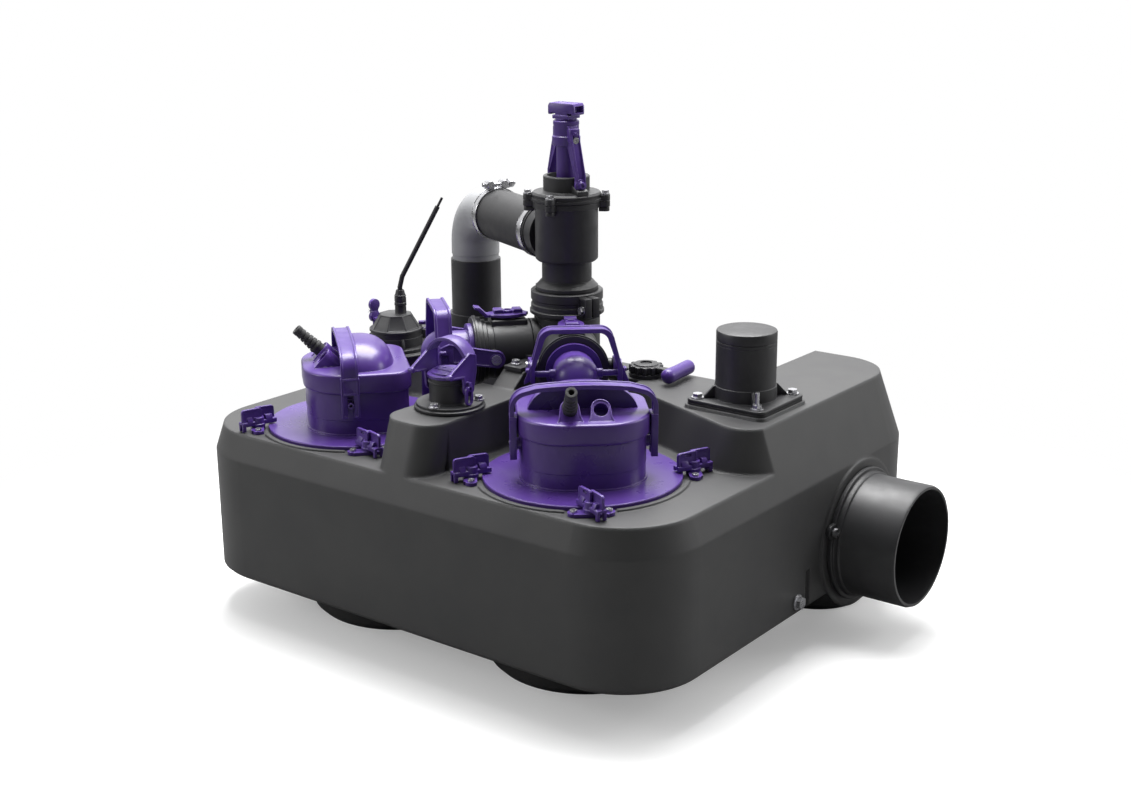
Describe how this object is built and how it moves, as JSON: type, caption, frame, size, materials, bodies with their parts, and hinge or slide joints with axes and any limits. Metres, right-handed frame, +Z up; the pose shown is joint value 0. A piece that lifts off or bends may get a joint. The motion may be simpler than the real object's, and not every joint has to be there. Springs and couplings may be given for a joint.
{
  "type": "sewage_lifting_station",
  "caption": "Floor-standing sewage lifting station: black tank with two motor pumps, discharge arms, shut-off valve, vent, side inlet, priming port and level sensor",
  "frame": {"origin": "on the floor under the centre of the tank body", "axes": "+X along the long front face towards the inlet pipe, +Y to the back, +Z up"},
  "size_m": [0.8504, 0.678, 0.668],
  "materials": {
    "tank_plastic": "fine grained charcoal polyethylene, satin",
    "black_plastic": "black moulded plastic, satin",
    "violet_coat": "violet powder coat on a cast housing, semi-gloss",
    "violet_plastic": "violet moulded plastic, semi-gloss",
    "zinc": "bright zinc-plated steel",
    "clamp_steel": "stainless band",
    "seal_rubber": "black rubber",
    "grey_plastic": "grey pipe plastic",
    "motor_core": "turned and laminated steel",
    "cast_housing": "black coated cast iron"
  },
  "bodies": {
    "station": {"tank": "tank_plastic", "anchor_bolts": "zinc", "inlet_pipe": "black_plastic", "seals": "seal_rubber", "vent_socket": "black_plastic", "vent_cap": "black_plastic", "flange_bolts": "zinc", "small_screws": "zinc", "housing_l": "violet_coat", "housing_r": "violet_coat", "cap_l": "violet_coat", "cap_r": "violet_coat", "bend_sleeves": "seal_rubber", "stators": "motor_core", "volutes": "cast_housing", "latch_bases": "violet_plastic", "elbow_l": "violet_plastic", "elbow_r": "violet_plastic", "check_l": "black_plastic", "check_r": "black_plastic", "pivot_screws": "zinc", "collector": "black_plastic", "collar": "black_plastic", "valve_body": "black_plastic", "valve_cover": "black_plastic", "cover_bolts": "zinc", "yoke": "violet_plastic", "hose": "seal_rubber", "hose_clamps": "clamp_steel", "grey_elbow": "grey_plastic", "riser": "black_plastic", "sensor_base": "black_plastic", "sensor_cover": "black_plastic", "sensor_gland": "black_plastic", "sensor_lead": "seal_rubber", "port_body": "black_plastic", "drain_hub": "black_plastic"},
    "handle_body_l": {"handle_l": "violet_plastic"},
    "rotor_body_l": {"rotor_l": "motor_core"},
    "lever_body_l": {"lever_l": "violet_plastic"},
    "knob_body_l": {"knob_l": "violet_plastic"},
    "flap_body_l": {"flap_l": "seal_rubber"},
    "handle_body_r": {"handle_r": "violet_plastic"},
    "rotor_body_r": {"rotor_r": "motor_core"},
    "lever_body_r": {"lever_r": "violet_plastic"},
    "knob_body_r": {"knob_r": "violet_plastic"},
    "flap_body_r": {"flap_r": "seal_rubber"},
    "latch_body_1": {"latch_1": "violet_plastic"},
    "latch_body_2": {"latch_2": "violet_plastic"},
    "latch_body_3": {"latch_3": "violet_plastic"},
    "latch_body_4": {"latch_4": "violet_plastic"},
    "latch_body_5": {"latch_5": "violet_plastic"},
    "latch_body_6": {"latch_6": "violet_plastic"},
    "spindle_body": {"spindle": "violet_plastic", "plug": "seal_rubber"},
    "bail_body": {"port_lever": "violet_plastic"},
    "lid_body": {"port_lid": "violet_plastic"},
    "wing_body_l": {"sensor_wing_l": "violet_plastic"},
    "wing_body_r": {"sensor_wing_r": "violet_plastic"},
    "drain_body": {"drain_lever": "violet_plastic"}
  },
  "joints": [
    {"name": "handle_slide_l", "type": "slide", "parent": "station", "child": "handle_body_l", "axis": [0, 0, 1], "range_m": [-0.006, 0.012]},
    {"name": "rotor_spin_l", "type": "hinge", "parent": "station", "child": "rotor_body_l", "pos_m": [-0.184, -0.197, 0.24], "axis": [0, 0, 1], "continuous": true},
    {"name": "lever_hinge_l", "type": "hinge", "parent": "station", "child": "lever_body_l", "pos_m": [-0.06919, -0.06493, 0.346], "axis": [-0.7547, 0.6561, 0], "range_deg": [0, 60]},
    {"name": "knob_turn_l", "type": "hinge", "parent": "station", "child": "knob_body_l", "pos_m": [-0.05279, -0.04606, 0.391], "axis": [0, 0, 1], "range_deg": [0, 90]},
    {"name": "flap_hinge_l", "type": "hinge", "parent": "station", "child": "flap_body_l", "pos_m": [-0.06197, -0.05662, 0.368], "axis": [0.7547, -0.6561, 0], "range_deg": [0, 56]},
    {"name": "handle_slide_r", "type": "slide", "parent": "station", "child": "handle_body_r", "axis": [0, 0, 1], "range_m": [-0.006, 0.012]},
    {"name": "rotor_spin_r", "type": "hinge", "parent": "station", "child": "rotor_body_r", "pos_m": [0.184, -0.197, 0.24], "axis": [0, 0, 1], "continuous": true},
    {"name": "lever_hinge_r", "type": "hinge", "parent": "station", "child": "lever_body_r", "pos_m": [0.06919, -0.06493, 0.346], "axis": [-0.7547, -0.6561, 0], "range_deg": [0, 60]},
    {"name": "knob_turn_r", "type": "hinge", "parent": "station", "child": "knob_body_r", "pos_m": [0.05279, -0.04606, 0.391], "axis": [0, 0, 1], "range_deg": [0, 90]},
    {"name": "flap_hinge_r", "type": "hinge", "parent": "station", "child": "flap_body_r", "pos_m": [0.06197, -0.05662, 0.368], "axis": [0.7547, 0.6561, 0], "range_deg": [0, 56]},
    {"name": "latch_turn_1", "type": "hinge", "parent": "station", "child": "latch_body_1", "pos_m": [-0.28438, -0.10974, 0.266], "axis": [0, 0, 1], "range_deg": [-79, 0]},
    {"name": "latch_turn_2", "type": "hinge", "parent": "station", "child": "latch_body_2", "pos_m": [-0.27126, -0.29738, 0.266], "axis": [0, 0, 1], "range_deg": [-79, 0]},
    {"name": "latch_turn_3", "type": "hinge", "parent": "station", "child": "latch_body_3", "pos_m": [-0.08362, -0.28426, 0.266], "axis": [0, 0, 1], "range_deg": [-79, 0]},
    {"name": "latch_turn_4", "type": "hinge", "parent": "station", "child": "latch_body_4", "pos_m": [0.08362, -0.28426, 0.266], "axis": [0, 0, 1], "range_deg": [-79, 0]},
    {"name": "latch_turn_5", "type": "hinge", "parent": "station", "child": "latch_body_5", "pos_m": [0.27126, -0.29738, 0.266], "axis": [0, 0, 1], "range_deg": [-79, 0]},
    {"name": "latch_turn_6", "type": "hinge", "parent": "station", "child": "latch_body_6", "pos_m": [0.28438, -0.10974, 0.266], "axis": [0, 0, 1], "range_deg": [-79, 0]},
    {"name": "spindle_slide", "type": "slide", "parent": "station", "child": "spindle_body", "axis": [0, 0, 1], "range_m": [0, 0.044]},
    {"name": "bail_hinge", "type": "hinge", "parent": "station", "child": "bail_body", "pos_m": [0, -0.225, 0.345], "axis": [1, 0, 0], "range_deg": [-70, 0]},
    {"name": "lid_lift", "type": "slide", "parent": "station", "child": "lid_body", "axis": [0, 0, 1], "range_m": [0, 0.02]},
    {"name": "wing_hinge_l", "type": "hinge", "parent": "station", "child": "wing_body_l", "pos_m": [-0.31958, -0.01802, 0.3293], "axis": [-0.1392, -0.9903, 0], "range_deg": [0, 60]},
    {"name": "wing_hinge_r", "type": "hinge", "parent": "station", "child": "wing_body_r", "pos_m": [-0.25053, 0.00988, 0.3293], "axis": [-0.788, 0.6157, 0], "range_deg": [0, 45]},
    {"name": "drain_turn", "type": "hinge", "parent": "station", "child": "drain_body", "pos_m": [0.097, 0.061, 0.315], "axis": [0, 0, 1], "range_deg": [0, 75]}
  ],
  "couplings": [
    {"joint": "flap_hinge_l", "follows": "knob_turn_l", "ratio": 0.6},
    {"joint": "flap_hinge_r", "follows": "knob_turn_r", "ratio": 0.6}
  ]
}
